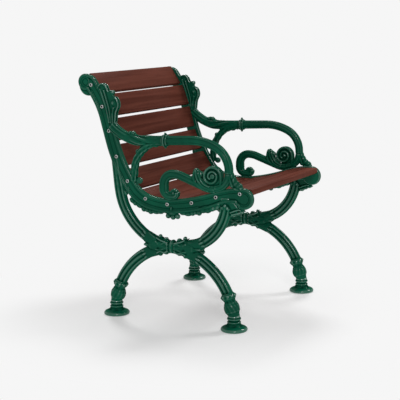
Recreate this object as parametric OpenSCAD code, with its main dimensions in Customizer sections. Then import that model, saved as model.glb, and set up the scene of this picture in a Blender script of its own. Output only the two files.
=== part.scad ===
// Garden armchair: two cast side frames joined by ten hardwood slats, with one screw at each end of a slat.
// Each side frame is drawn flat, in its own side elevation, and then stood up at its place.
// Side elevation: first number is the distance behind the middle of the feet, second is the height.
// Sides are named from the sitter, who faces -Y. Lengths are in millimetres and angles in degrees.

/* [Overall] */
// Distance between the centre planes of the two side frames
frame_spacing = 550; // [450:5:800]

/* [Slats] */
// Width of a slat
slat_w = 76; // [66:0.5:78]
// Thickness of a slat
slat_t = 28; // [22:0.5:32]
// Mean distance from slat to slat along the rail
slat_pitch = 89; // [88:0.1:90]
// Radius of a slat's long edges
slat_edge_r = 5; // [2:0.5:8]
// Depth of the back slats' faces below the rail's front edge
back_reveal = 11; // [6:0.5:14]
// Depth of the seat slats' faces below the rail's top edge
seat_reveal = 4; // [2:0.5:8]
// Gap between a slat's end and the rail
end_gap = 0.3; // [0.1:0.1:1]

/* [Rail] */
// Depth of the rail, from its slat side to its outer side
rail_depth = 48; // [44:0.5:54]
// Thickness of the rail's web, where the screws pass through
web_t = 11; // [8:0.5:14]
// Height of the rolled edges above the web
bead_rise = 5; // [3:0.5:6]
// Radius of the scroll at the front of the seat
nose_r = 34; // [30:0.5:38]
// Radius of the scroll at the top of the back
top_scroll_r = 28; // [26:0.5:32]
// Radius of the bend between seat and back
seat_bend_r = 122; // [115:1:130]
// Lean of the back from the vertical
back_lean = 15.5; // [12:0.5:18]

/* [Legs] */
// Distance between the axes of the front and rear feet
foot_spacing = 450; // [430:5:470]
// Height of the clasp where the legs meet
clasp_z = 255; // [250:0.5:260]
// Width of a leg, seen from the side
leg_w = 40; // [34:0.5:44]
// Thickness of a leg over its middle reed
leg_t = 28; // [24:0.5:32]
// Radius of a lower leg's curve
lower_leg_r = 241; // [236:1:246]
// Largest radius of the leaf bulb above a foot
bulb_r = 26; // [23:0.5:28]

/* [Feet] */
// Diameter of a foot's pad
foot_d = 88; // [70:1:100]
// Height of a turned foot
foot_h = 50; // [46:0.5:54]
// Diameter of a foot's neck
foot_neck_d = 34; // [28:0.5:38]

/* [Arms] */
// Width of the armrest bar, seen from the side
arm_w = 29; // [24:0.5:32]
// Thickness of the armrest
arm_t = 26; // [22:0.5:30]
// Height of the armrest's middle line at its beaded collar
arm_z = 604.5; // [602:0.5:607]
// Radius of the large scroll
volute_r = 29.5; // [27:0.5:31]
// Radius of the small scroll
small_volute_r = 20.5; // [18:0.5:22]

/* [Fasteners] */
// Diameter of a slat screw's shank
screw_d = 8; // [6:0.5:9]
// Diameter of a slat screw's head
screw_head_d = 13; // [11:0.5:15]
// Height of a slat screw's head
screw_head_h = 4.5; // [3:0.5:5]
// Length of a slat screw under its head
screw_len = 45; // [40:1:70]
// Outer diameter of the threaded sleeve in a slat's end
sleeve_d = 12; // [10.5:0.5:14]
// Length of the threaded sleeve
sleeve_len = 36; // [25:1:50]
// Gap around a screw in its hole and around a sleeve in the wood
hole_gap = 0.25; // [0.1:0.05:0.5]
// Gap between two castings that are bolted together
seat_gap = 0.3; // [0.1:0.05:0.5]

/* [Hidden] */
$fn = 96;
fine = 180;
coarse = 16;
joint_step = 0.05;
joint_lap = 1;
paint = "darkgreen";
wood = "saddlebrown";
metal = "silver";
back_slats = 5;
slat_count = 10;

// A route is [start, heading, spans]. A span is [radius, turn], with a left turn above zero, or [0, length].
function span_length(span) = span[0] == 0 ? span[1] : span[0] * abs(span[1]) * PI / 180;
function span_end(p, a, span) = span[0] == 0
    ? p + span[1] * [cos(a), sin(a)]
    : p + span[0] * sign(span[1]) * [sin(a + span[1]) - sin(a), cos(a) - cos(a + span[1])];
function span_turn(span) = span[0] == 0 ? 0 : span[1];
function span_part(span, s) = span[0] == 0 ? [0, s] : [span[0], sign(span[1]) * s * 180 / (PI * span[0])];
function rest(spans) = len(spans) < 2 ? [] : [for (i = [1:len(spans) - 1]) spans[i]];
// Place on a route after a distance s: [[y, z], heading]
function place(p, a, spans, s) = len(spans) == 0
    ? [p + s * [cos(a), sin(a)], a]
    : s <= span_length(spans[0])
        ? [span_end(p, a, span_part(spans[0], s)), a + span_turn(span_part(spans[0], s))]
        : place(span_end(p, a, spans[0]), a + span_turn(spans[0]), rest(spans), s - span_length(spans[0]));
function along(route, s) = place(route[0], route[1], route[2], s);
function total(spans) = len(spans) == 0 ? 0 : span_length(spans[0]) + total(rest(spans));
function end_of(route) = along(route, total(route[2]));
// The same route without the first s millimetres of its first span, which is an arc
function from(route, s) =
    let (here = along(route, s), span = route[2][0])
    [here[0], here[1], concat([[span[0], span[1] - (here[1] - route[1])]], rest(route[2]))];
function normal(a) = [-sin(a), cos(a)];
function mix(a, b, t) = a + (b - a) * t;

// Rail, from the front scroll along the seat and up the back
bead_r = bead_rise + 0.5;
ridge_r = 1.6;
edge_in = 0.5;
crest_step = 0.3;
plate_step = 0.4;
plate_in = 0.3;
scroll_bead_r = bead_r + 1.3;
rail_t = web_t + bead_rise;
rail_in = -rail_t / 2;
web_out = rail_in + web_t;
seat_z = web_out - 0.5;
nose_c = [-263.5, 432];
top_scroll_c = [324, 789.5];
back_angle = 90 - back_lean;
rail_route = [
    [nose_c[0], nose_c[1] + nose_r - rail_depth / 2], 1.4,
    [
        [260, -20.5], [0, 8], [695, 12], [295, 20.5], [seat_bend_r, 41.5],
        [495, back_angle - 54.9], [0, 77], [285, 55.9 - back_angle], [0, 35]
    ]
];
crest_r = 36;

// Slats, counted from the top of the back to the front of the seat, each moved a little from its even place
first_station = 12.5;
station_shift = [-5.5, 0.5, 5.5, 5.5, 4.5, 2.5, 4.5, 0.5, -3.5, 0];
slat_len = frame_spacing - rail_t - 2 * end_gap;
slat_bore = max(sleeve_len, screw_len - web_t - end_gap) + 1;
function slat_reveal(i) = i <= back_slats ? back_reveal : seat_reveal;
function slat_place(i) =
    let (at = along(rail_route, first_station + (slat_count - i) * slat_pitch + station_shift[i - 1]))
    [at[0] + (rail_depth / 2 - slat_reveal(i) - slat_t / 2) * normal(at[1]), at[1]];

// Legs: the lower arcs run from the clasp to the bulbs, the upper arcs from the clasp to the rail
foot_y = foot_spacing / 2;
knee = [foot_y - 21, 115];
lower_crown_z = clasp_z - 2;
lower_turn = acos(1 - (lower_crown_z - knee[1]) / lower_leg_r);
lower_full = [[knee[0] - lower_leg_r * sin(lower_turn), lower_crown_z], 0, [[lower_leg_r, -lower_turn]]];
lower_route = from(lower_full, 20);
upper_rear_route = from([[-16, clasp_z - 3], 0, [[220, 55], [190, 24], [0, 150]]], 45);
upper_front_route = [[-36, clasp_z + 6], 180, [[0, 3], [163, -86], [0, 20]]];

// Armrest from the back to the front, and the scrollwork on the seat
arm_out = 3.5;
arm_route = [[222, arm_z + 43], 225, [[156, -47.4], [0, 186.5], [180, 28], [82, 64.4], [0, 8]]];
arm_foot = end_of(arm_route)[0];
hook_route = [arm_foot, 270, [[50, 90]]];
toe_route = [arm_foot, 250, [[0, 46]]];
branch_route = [[30, arm_z - 4], 0, [[108, -88], [0, 34]]];
branch_tip = end_of(branch_route)[0] + [-20, 6];
scroll_route = [arm_foot + [46.5, -53], 0, [[0, 18], [60, 20], [0, 89.5], [98, -20]]];
loop_route = [end_of(scroll_route)[0], 0, [[36, -90], [0, 14]]];
curl_route = [end_of(loop_route)[0], -90, [[24, -90], [0, 14], [12, -110]]];
volute_c = arm_foot + [60, -9];
small_volute_c = arm_foot + [199.5, -76];
spiral_route = [
    volute_c + [5 - volute_r, -34], 90,
    [[0, 34], [volute_r - 5, -180], [volute_r - 11, -180], [volute_r - 17, -180], [5, -120]]
];

// The whole chair is centred over its bounding box
origin_y = (top_scroll_c[0] + top_scroll_r + nose_c[0] - nose_r) / 2;

// Placing of what is drawn flat in the side elevation, with its outer face up
module on_left() {
    translate([frame_spacing / 2, -origin_y, 0]) rotate([90, 0, 90]) children();
}
module on_right() {
    mirror([1, 0, 0]) on_left() children();
}
module at(p) {
    translate([p[0], p[1], 0]) children();
}

// Sweep of a section along a route; the section's first axis points to the left of the route.
// Every second span is a hair larger, given by $grow, and laps over its neighbours, so that they fuse.
module sweep_span(p, a, span, lap) {
    side = sign(span[1]);
    turn = lap * 180 / (PI * max(span[0], 1));
    if (span[0] == 0)
        translate(p - lap * [cos(a), sin(a)]) rotate([90, 0, a + 90])
            linear_extrude(span[1] + 2 * lap) mirror([1, 0]) children();
    else
        translate(p + span[0] * side * normal(a))
            rotate((side > 0 ? a - 90 : a + 90 + span[1]) - turn)
                rotate_extrude(angle = abs(span[1]) + 2 * turn)
                    translate([span[0], 0]) mirror([side > 0 ? 1 : 0, 0]) children();
}
module sweep(route, larger = false) {
    p = route[0];
    a = route[1];
    spans = route[2];
    if (len(spans) > 0) {
        $grow = larger ? joint_step : 0;
        sweep_span(p, a, spans[0], larger ? joint_lap : 0) children();
        sweep([span_end(p, a, spans[0]), a + span_turn(spans[0]), rest(spans)], !larger) children();
    }
}

// Cast bar of oval section along a route, going evenly from its first width and thickness to its second
function oval_ring(spot, w, t, sides) = [
    for (j = [0:sides - 1])
        let (a = 360 * j / sides, p = spot[0] + w / 2 * cos(a) * normal(spot[1]))
        [p[0], p[1], t / 2 * sin(a)]
];
function skin(rings, sides) = [
    for (i = [0:rings - 2], j = [0:sides - 1])
        let (k = (j + 1) % sides, at = i * sides)
        each [[at + k, at + j, at + sides + k], [at + sides + k, at + j, at + sides + j]]
];
// Distances along a route where its bar has a ring: one at each end of a straight, several round a turn
function stations(spans, turn_step, s = 0) = len(spans) == 0 ? [s] :
    let (steps = spans[0][0] == 0 ? 1 : ceil(abs(spans[0][1]) / turn_step), length = span_length(spans[0]))
    concat([for (i = [0:steps - 1]) s + length * i / steps], stations(rest(spans), turn_step, s + length));
module oval_bar(route, w, t, turn_step = 8, sides = 16) {
    length = total(route[2]);
    rings = [
        for (s = stations(route[2], turn_step))
            oval_ring(along(route, s), mix(w[0], w[1], s / length), mix(t[0], t[1], s / length), sides)
    ];
    last = (len(rings) - 1) * sides;
    ends = [[for (j = [0:sides - 1]) j], [for (j = [sides - 1:-1:0]) last + j]];
    polyhedron([for (ring = rings) each ring], concat(ends, skin(len(rings), sides)));
}

// Rail
module rail_section() {
    $grow = is_undef($grow) ? 0 : $grow;
    translate([edge_in - rail_depth / 2 - $grow, rail_in - $grow])
        square([rail_depth - 2 * edge_in + 2 * $grow, web_t + 2 * $grow]);
    for (x = [-1, 1]) {
        translate([x * (rail_depth / 2 - bead_r), web_out]) circle(r = bead_r + $grow);
        translate([x * (rail_depth / 2 - 2 * bead_r - 0.4), web_out - 0.4]) circle(r = ridge_r + $grow);
    }
}
module scroll_end(c, r) {
    at(c) {
        translate([0, 0, rail_in + plate_step]) cylinder(r = r - plate_in, h = web_t - 2 * plate_step);
        rotate_extrude() translate([r + crest_step - scroll_bead_r, web_out + crest_step])
            circle(r = scroll_bead_r);
    }
}
module crest() {
    end = end_of(rail_route);
    c = end[0] + (rail_depth / 2 - crest_r) * normal(end[1]);
    to_scroll = top_scroll_c - c;
    d = norm(to_scroll);
    ring_r = crest_r - bead_r;
    scroll_ring_r = top_scroll_r + crest_step - scroll_bead_r;
    meet = atan2(to_scroll[1], to_scroll[0])
        + acos((pow(ring_r, 2) - pow(scroll_ring_r, 2) + pow(d, 2)) / (2 * ring_r * d));
    at(c) rotate(meet) rotate_extrude(angle = end[1] + 92 - meet) {
        translate([0, rail_in + 2 * plate_step]) square([crest_r - plate_in, web_t - 4 * plate_step]);
        translate([ring_r, web_out]) circle(r = bead_r + crest_step);
    }
}
module rail() {
    difference() {
        union() {
            sweep(rail_route) rail_section();
            scroll_end(nose_c, nose_r);
            scroll_end(top_scroll_c, top_scroll_r);
            crest();
            back_leaf();
            seat_drops();
        }
        at_slats() {
            cylinder(d = screw_d + 2 * hole_gap, h = 3 * rail_t, center = true);
            translate([0, 0, seat_z]) cylinder(d = screw_head_d + 1, h = rail_t);
        }
    }
}

// Leaf on the front edge of the back, and the bosses under the seat
module back_leaf() {
    translate([0, 0, -web_t / 2]) linear_extrude(web_t) {
        at([258, 766]) circle(r = 17);
        at([232, 751]) circle(r = 14);
        at([218, 722]) circle(r = 18);
        at([224, 700]) circle(r = 14);
        at([226, 681]) circle(r = 11);
        polygon([[258, 780], [230, 757], [216, 730], [218, 690], [220, 664], [245, 690], [270, 750]]);
    }
    at([216, 760]) sphere(r = 7.5);
    at([218, 722]) sphere(r = 12);
    at([258, 766]) sphere(r = 11);
}
module seat_drops() {
    drops = [
        [148, 402, 8], [136, 393, 8], [104, 377, 9], [82, 371, 9], [13, 357, 9], [-5, 355, 8.5],
        [-22, 358, 9], [-3, 366, 9.5], [-80, 375, 8], [-100, 376, 8], [-124, 386, 9], [-142, 391, 9]
    ];
    for (d = drops) at(d) {
        cylinder(r = d[2], h = web_t, center = true);
        cylinder(r = d[2] - 2.5, h = web_t + 3.4, center = true);
    }
}

// Room that a rail takes up, with the gap that its neighbours keep from it
module rail_room() {
    room = 80;
    sweep(rail_route, $fn = fine) square([rail_depth + 2 * (seat_gap + $grow), room], center = true);
    for (end = [[nose_c, nose_r], [top_scroll_c, top_scroll_r]])
        at(end[0]) cylinder(r = end[1] + seat_gap, h = room, center = true, $fn = fine);
}

// Reeded legs of one side, with the leaf clasp where they meet and the bulbs above the feet
module leg_section() {
    core = 10;
    square([leg_w - 2 * core, 2 * (core - 0.5 + $grow)], center = true);
    for (x = [-1, 1]) translate([x * (leg_w / 2 - core), 0]) circle(r = core + $grow);
    for (y = [-1, 1]) {
        translate([0, y * (leg_t / 2 - 7)]) circle(r = 7 + $grow);
        for (x = [-1, 1]) translate([x * (leg_w / 2 - 8), y * (leg_t / 2 - 6)]) circle(r = 4 + $grow);
    }
}
module limb(route) {
    sweep(route) leg_section();
}
module bulb() {
    axis = [foot_y, foot_h] - knee;
    length = norm(axis);
    at(knee) rotate(atan2(axis[1], axis[0])) rotate([0, 90, 0]) {
        rotate_extrude() intersection() {
            union() {
                translate([23, 5]) circle(r = 4.5);
                translate([19, 11]) circle(r = 3.5);
                polygon([
                    [0, -4], [19, -4], [21, 5], [18, 12], [16.5, 20], [19, 40],
                    [18, length + 8], [0, length + 8]
                ]);
                translate([bulb_r - 20, length - 13]) circle(r = 20);
            }
            translate([0, -20]) square([2 * bulb_r, length + 40]);
        }
    }
}
module clasp() {
    at([-3, clasp_z]) intersection() {
        rotate([0, 90, 0]) rotate_extrude() intersection() {
            union() for (y = [-1, 1]) scale([1, y]) {
                polygon([
                    [0, 0], [26, 0], [26, 7], [23.5, 9], [24, 13], [28, 26], [29.5, 41],
                    [31, 56], [27, 75], [17, 100], [5, 120], [0, 121]
                ]);
                translate([33, 48]) circle(r = 4.5);
                translate([23.5, 15]) circle(r = 2);
            }
            translate([0, -200]) square([100, 400]);
        }
        rotate([90, 0, 90]) linear_extrude(300, center = true) {
            square([44, 36], center = true);
            for (x = [-1, 1]) translate([22 * x, 0]) circle(r = 18);
        }
    }
}
module legs() {
    difference() {
        union() {
            for (m = [0, 1]) mirror([m, 0, 0]) {
                limb(lower_route);
                bulb();
            }
            limb(upper_rear_route);
            limb(upper_front_route);
            clasp();
            at([-226, 398]) cylinder(r = 12, h = leg_t - 8, center = true);
        }
        rail_room();
        translate([-foot_spacing, foot_h - 100, -50]) cube([2 * foot_spacing, 100, 100]);
    }
}

// Armrest, its branch and the scrollwork on the seat
module lobe(p, q, r0, r1, t) {
    hull() {
        at(p) scale([1, 1, t / r0 / 2]) sphere(r = r0, $fn = coarse);
        at(q) scale([1, 1, t / r0 / 2]) sphere(r = r1, $fn = coarse);
    }
}
module disc(p, r, t) {
    chamfer = 2;
    at(p) hull() for (z = [0, 1])
        cylinder(r = r - z * chamfer, h = t - 2 * (1 - z) * chamfer, center = true, $fn = 2 * coarse);
}
module collar() {
    for (x = [14, 20]) translate([x, arm_z + 1, 0]) rotate([0, 90, 0]) scale([arm_t + 10, arm_w + 12, 8] / 2)
        sphere(r = 1, $fn = coarse);
    translate([17, arm_z + 1, 0]) rotate([0, 90, 0]) scale([arm_t + 5, arm_w + 6, 7] / 2)
        cylinder(r = 1, h = 2, center = true, $fn = coarse);
}
module arm_on_rail() {
    difference() {
        translate([0, 0, arm_out]) arm();
        rail_room();
    }
}
module arm() {
    union() {
        oval_bar(arm_route, [arm_w + 5, arm_w - 2], [arm_t, arm_t]);
        oval_bar(hook_route, [arm_w - 2, 24], [arm_t, arm_t - 4]);
        oval_bar(toe_route, [arm_w - 6, 20], [arm_t - 4, 20]);
        oval_bar(branch_route, [arm_w - 4, 24], [arm_t - 4, arm_t - 6]);
        disc(branch_tip, 11, arm_t - 8);
        oval_bar(scroll_route, [25, 29], [arm_t - 4, arm_t - 4]);
        oval_bar(loop_route, [29, 34], [arm_t - 4, arm_t - 4]);
        oval_bar(curl_route, [34, 14], [arm_t - 4, arm_t - 6], 12);
        disc(small_volute_c, small_volute_r - 5, arm_t - 12);
        disc(volute_c, volute_r - 4, arm_t - 8);
        oval_bar(spiral_route, [9, 6], [arm_t - 5, arm_t - 1], 15, 8);
        collar();
        lobe([143, arm_z + 15], [163, arm_z + 14], 10, 5, 20);
        lobe([-247, 475], [-236, 482], 13, 10, 22);
        lobe([-236, 482], [-228, 500], 10, 6, 20);
        lobe([-92, 511], [-96, 492], 8, 8, 18);
        lobe([-107, 503], [-102, 490], 7, 8, 16);
    }
}

// Turned foot
module foot(side, y) {
    pad_r = foot_d / 2;
    neck_r = foot_neck_d / 2;
    translate([side * frame_spacing / 2, y - origin_y, 0]) rotate_extrude() difference() {
        union() {
            square([neck_r, foot_h]);
            square([pad_r - 2, 5]);
            translate([pad_r - 2.5, 2.5]) circle(r = 2.5);
            translate([0, foot_h - 8]) square([neck_r + 3, 8]);
            translate([neck_r + 2, foot_h - 11]) circle(r = 4);
            translate([neck_r, foot_h - 24]) circle(r = 3);
            polygon([
                [0, 4], [pad_r - 2, 4.5], [pad_r - 8, 11], [neck_r + 8, 17], [neck_r + 2, 22], [0, 24]
            ]);
        }
        translate([-pad_r, -1]) square([pad_r, foot_h + 2]);
    }
}

// Slats and their fasteners
module slat(i) {
    spot = slat_place(i);
    translate([0, spot[0][0] - origin_y, spot[0][1]]) rotate([spot[1], 0, 0]) difference() {
        rotate([90, 0, 90]) linear_extrude(slat_len, center = true) {
            square([slat_w - 2 * slat_edge_r, slat_t], center = true);
            square([slat_w, slat_t - 2 * slat_edge_r], center = true);
            for (x = [-1, 1], y = [-1, 1])
                translate([x * (slat_w / 2 - slat_edge_r), y * (slat_t / 2 - slat_edge_r)])
                    circle(r = slat_edge_r);
        }
        for (x = [-1, 1]) translate([x * slat_len / 2, 0, 0]) rotate([0, 90, 0])
            cylinder(d = sleeve_d + 2 * hole_gap, h = 2 * slat_bore, center = true);
    }
}
module sleeve() {
    translate([0, 0, rail_in - end_gap - sleeve_len]) difference() {
        cylinder(d = sleeve_d, h = sleeve_len);
        translate([0, 0, -1]) cylinder(d = screw_d + 2 * hole_gap, h = sleeve_len + 2);
    }
}
module screw() {
    socket_d = screw_head_d / 2;
    translate([0, 0, seat_z - screw_len]) cylinder(d = screw_d, h = screw_len);
    translate([0, 0, seat_z]) difference() {
        intersection() {
            cylinder(d = screw_head_d, h = screw_head_h);
            translate([0, 0, screw_head_h - screw_head_d]) sphere(r = screw_head_d);
        }
        translate([0, 0, screw_head_h / 2]) cylinder(d = socket_d, h = screw_head_h, $fn = 6);
    }
}
module at_slats() {
    for (i = [1:slat_count]) at(slat_place(i)[0]) children();
}

module right_rail() { color(paint) on_right() rail(); }
module right_arm() { color(paint) on_right() arm_on_rail(); }
module right_legs() { color(paint) on_right() legs(); }
module right_front_foot() { color(paint) foot(-1, -foot_y); }
module right_rear_foot() { color(paint) foot(-1, foot_y); }
module right_slat_screws() { color(metal) on_right() at_slats() screw(); }
module right_slat_sleeves() { color(metal) on_right() at_slats() sleeve(); }
module left_rail() { color(paint) on_left() rail(); }
module left_arm() { color(paint) on_left() arm_on_rail(); }
module left_legs() { color(paint) on_left() legs(); }
module left_front_foot() { color(paint) foot(1, -foot_y); }
module left_rear_foot() { color(paint) foot(1, foot_y); }
module left_slat_screws() { color(metal) on_left() at_slats() screw(); }
module left_slat_sleeves() { color(metal) on_left() at_slats() sleeve(); }
module back_slat_1() { color(wood) slat(1); }
module back_slat_2() { color(wood) slat(2); }
module back_slat_3() { color(wood) slat(3); }
module back_slat_4() { color(wood) slat(4); }
module back_slat_5() { color(wood) slat(5); }
module seat_slat_1() { color(wood) slat(back_slats + 1); }
module seat_slat_2() { color(wood) slat(back_slats + 2); }
module seat_slat_3() { color(wood) slat(back_slats + 3); }
module seat_slat_4() { color(wood) slat(back_slats + 4); }
module seat_slat_5() { color(wood) slat(back_slats + 5); }

right_rail();
right_arm();
right_legs();
right_front_foot();
right_rear_foot();
left_rail();
left_arm();
left_legs();
left_front_foot();
left_rear_foot();
back_slat_1();
back_slat_2();
back_slat_3();
back_slat_4();
back_slat_5();
seat_slat_1();
seat_slat_2();
seat_slat_3();
seat_slat_4();
seat_slat_5();
right_slat_screws();
left_slat_screws();
right_slat_sleeves();
left_slat_sleeves();
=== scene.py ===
"""Garden armchair with cast side frames and hardwood slats: the look of each piece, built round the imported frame.

The castings are drawn flat, in the side elevation of one side frame, in millimetres: distance behind the
middle of the feet, height, and distance outwards from the middle plane of the casting. They are then fused
into one skin, and stood up on both sides of the chair.
"""

import functools
import math

import bmesh
import bpy
from mathutils import Matrix, Vector


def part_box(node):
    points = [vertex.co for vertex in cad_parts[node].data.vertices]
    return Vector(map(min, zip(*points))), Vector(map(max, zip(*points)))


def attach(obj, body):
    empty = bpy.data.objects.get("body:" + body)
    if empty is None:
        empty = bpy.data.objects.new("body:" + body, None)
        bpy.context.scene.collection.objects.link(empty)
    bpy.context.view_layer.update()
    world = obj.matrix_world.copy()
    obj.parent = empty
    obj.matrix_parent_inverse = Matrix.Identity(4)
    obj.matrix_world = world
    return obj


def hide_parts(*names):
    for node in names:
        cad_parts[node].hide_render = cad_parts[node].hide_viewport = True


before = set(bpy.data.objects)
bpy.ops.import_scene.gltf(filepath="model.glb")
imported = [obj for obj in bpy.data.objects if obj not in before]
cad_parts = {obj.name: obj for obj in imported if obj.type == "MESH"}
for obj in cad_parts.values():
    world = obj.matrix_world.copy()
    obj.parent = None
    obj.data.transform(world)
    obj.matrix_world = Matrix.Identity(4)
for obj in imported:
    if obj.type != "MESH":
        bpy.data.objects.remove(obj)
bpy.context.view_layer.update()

bl_info = {
    "name": "Garden Armchair",
    "version": (1, 0, 0),
    "blender": (4, 5, 0),
    "location": "View3D > Sidebar > Armchair",
    "description": "Castings, slats, fasteners and studio of a garden armchair",
    "category": "Add Mesh",
}

MM = 0.001
BODY = "root"
ORIGIN_Y = 27.25
SLATS = ["back_slat_%d" % i for i in range(1, 6)] + ["seat_slat_%d" % i for i in range(1, 6)]
SIDES = {"right": -1, "left": 1}


class Route:
    """A start, a heading in degrees, and spans: (radius, turn), with a left turn above zero, or (0, length)."""

    def __init__(self, start, heading, spans):
        self.start = Vector(start)
        self.heading = heading
        self.spans = spans
        self.length = sum(self.span_length(span) for span in spans)

    @staticmethod
    def span_length(span):
        return span[1] if span[0] == 0 else span[0] * math.radians(abs(span[1]))

    @staticmethod
    def step(point, heading, span, part):
        a = math.radians(heading)
        if span[0] == 0:
            return point + part * Vector((math.cos(a), math.sin(a))), heading
        side = 1 if span[1] > 0 else -1
        b = a + side * part / span[0]
        moved = Vector((math.sin(b) - math.sin(a), math.cos(a) - math.cos(b)))
        return point + span[0] * side * moved, math.degrees(b)

    def at(self, s):
        """The place and the heading after a distance s."""
        point, heading = self.start, self.heading
        for i, span in enumerate(self.spans):
            length = self.span_length(span)
            if s <= length or i == len(self.spans) - 1:
                return self.step(point, heading, span, s)
            point, heading = self.step(point, heading, span, length)
            s -= length
        return point, heading

    def end(self):
        return self.at(self.length)

    def beside(self, s, offset):
        """The place at a distance s, moved to the left of the route."""
        point, heading = self.at(s)
        return point + offset * normal(heading)

    def mirrored(self):
        """The same route on the other side of the clasp's middle."""
        spans = [(a, b if a == 0 else -b) for a, b in self.spans]
        return Route((-self.start.x, self.start.y), 180 - self.heading, spans)

    def after(self, s):
        """The same route without the first s millimetres of its first span, which is an arc."""
        point, heading = self.at(s)
        first = (self.spans[0][0], self.spans[0][1] - (heading - self.heading))
        return Route(point, heading, [first] + self.spans[1:])


def normal(heading):
    a = math.radians(heading)
    return Vector((-math.sin(a), math.cos(a)))


def blend(a, b, t):
    return a + (b - a) * min(max(t, 0.0), 1.0)


def smooth(t):
    """From nought to one, slow at both ends."""
    return t * t * (3 - 2 * t)


def along(points, s, ease=lambda t: t):
    """The value at s of a line through (place, value) points."""
    for (s0, v0), (s1, v1) in zip(points, points[1:]):
        if s <= s1:
            return blend(v0, v1, ease((s - s0) / (s1 - s0)))
    return points[-1][1]


def bell(x, width):
    """A smooth hump of height one round x = 0."""
    return math.exp(-((x / width) ** 2))


# The casting's lines, as in the part's source
RAIL_DEPTH = 48.0
WEB_IN = -8.0
WEB_OUT = 3.0
NOSE = Vector((-263.5, 432.0))
NOSE_R = 34.0
TOP = Vector((324.0, 789.5))
TOP_R = 28.0
CREST_R = 36.0
RAIL = Route(
    (NOSE.x, NOSE.y + NOSE_R - RAIL_DEPTH / 2),
    1.4,
    [(260, -20.5), (0, 8), (695, 12), (295, 20.5), (122, 41.5), (495, 19.6), (0, 77), (285, -18.6), (0, 35)],
)
# Slats are counted from the top of the back to the front of the seat
FIRST_STATION = 12.5
SLAT_PITCH = 89.0
STATION_SHIFT = (-5.5, 0.5, 5.5, 5.5, 4.5, 2.5, 4.5, 0.5, -3.5, 0)
BACK_SLATS = 5
BACK_REVEAL = 11.0
SEAT_REVEAL = 4.0
SLAT_T = 28.0
SLAT_W = 76.0
# The boards drawn here are thinner than the solids, a hair shorter, and rounded along their edges
BOARD_T = 21.0
BOARD_END_ROOM = 0.4
BOARD_END_R = 0.8
FRONT_EDGE_R = 3.5
BACK_EDGE_R = 9.0
SCREW_SEAT = 2.5
SCREW_LENGTH = 45.0
SHANK_R = 4.0
HEAD_R = 6.5
HEAD_H = 4.5
SOCKET_R = 3.3
CLASP_Z = 255.0
KNEE = Vector((204.0, 115.0))
FOOT_TOP = Vector((225.0, 50.0))
LEG_R = 241.0
FRONT_R = 163.0
REAR_R = 220.0
LEG_W = 40.0
LEG_T = 28.0
ARM_Z = 604.5
ARM_OUT = 3.5
ARM = Route((222, ARM_Z + 43), 225, [(156, -47.4), (0, 186.5), (180, 28), (82, 64.4), (0, 8)])
ARM_FOOT = ARM.end()[0]
HOOK = Route(ARM_FOOT, 270, [(50, 90)])
TOE = Route(ARM_FOOT, 250, [(0, 46)])
BRANCH = Route((30, ARM_Z - 4), 0, [(108, -88), (0, 34)])
SCROLL_SPANS = [(0, 18), (60, 20), (0, 89.5), (98, -20)]
LOOP_SPANS = [(36, -90), (0, 14)]
CURL_SPANS = [(24, -90), (0, 14), (12, -110)]
SCROLL = Route(ARM_FOOT + Vector((46.5, -53)), 0, SCROLL_SPANS + LOOP_SPANS + CURL_SPANS)
VOLUTE = ARM_FOOT + Vector((55, -11))
VOLUTE_R = 34.0
SMALL_VOLUTE = ARM_FOOT + Vector((199.5, -76))
SMALL_VOLUTE_R = 20.5
SPIRAL = Route(
    VOLUTE + Vector((5 - VOLUTE_R, -34)), 90,
    [(0, 34), (VOLUTE_R - 5, -180), (VOLUTE_R - 12, -180), (VOLUTE_R - 19, -180), (8, -100)],
)


def slat_place(index, thickness):
    """The middle of a slat's section, where the rail carries it, and its heading."""
    s = FIRST_STATION + (len(STATION_SHIFT) - 1 - index) * SLAT_PITCH + STATION_SHIFT[index]
    reveal = BACK_REVEAL if index < BACK_SLATS else SEAT_REVEAL
    return RAIL.beside(s, RAIL_DEPTH / 2 - reveal - thickness / 2), RAIL.at(s)[1]


# Solid shapes, each a closed skin
def skin(bm, around, rows, spot):
    """A tube with closed ends: spot(row, i) gives the place of corner i of a row, and the end rows are points."""
    last = len(rows) - 1
    grid = bmesh.ops.create_grid(bm, x_segments=around, y_segments=last, size=1.0)
    for v in grid["verts"]:
        i = round((v.co.x + 1) / 2 * around) % around
        j = round((v.co.y + 1) / 2 * last)
        v.co = spot(rows[j], i)
    bmesh.ops.remove_doubles(bm, verts=grid["verts"], dist=1e-3)


def oval(a, w, t, square=2.4):
    c, s = math.cos(a), math.sin(a)
    x = w / 2 * math.copysign(abs(c) ** (2 / square), c)
    y = t / 2 * math.copysign(abs(s) ** (2 / square), s)
    return x, y


def squared(power):
    """An oval section whose corners are fuller the higher the power is."""
    return lambda a, w, t: oval(a, w, t, power)


def tapered(route, first, last):
    """Width and thickness that go evenly from one end of a route to the other."""
    return lambda s: tuple(blend(a, b, s / route.length) for a, b in zip(first, last))


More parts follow.
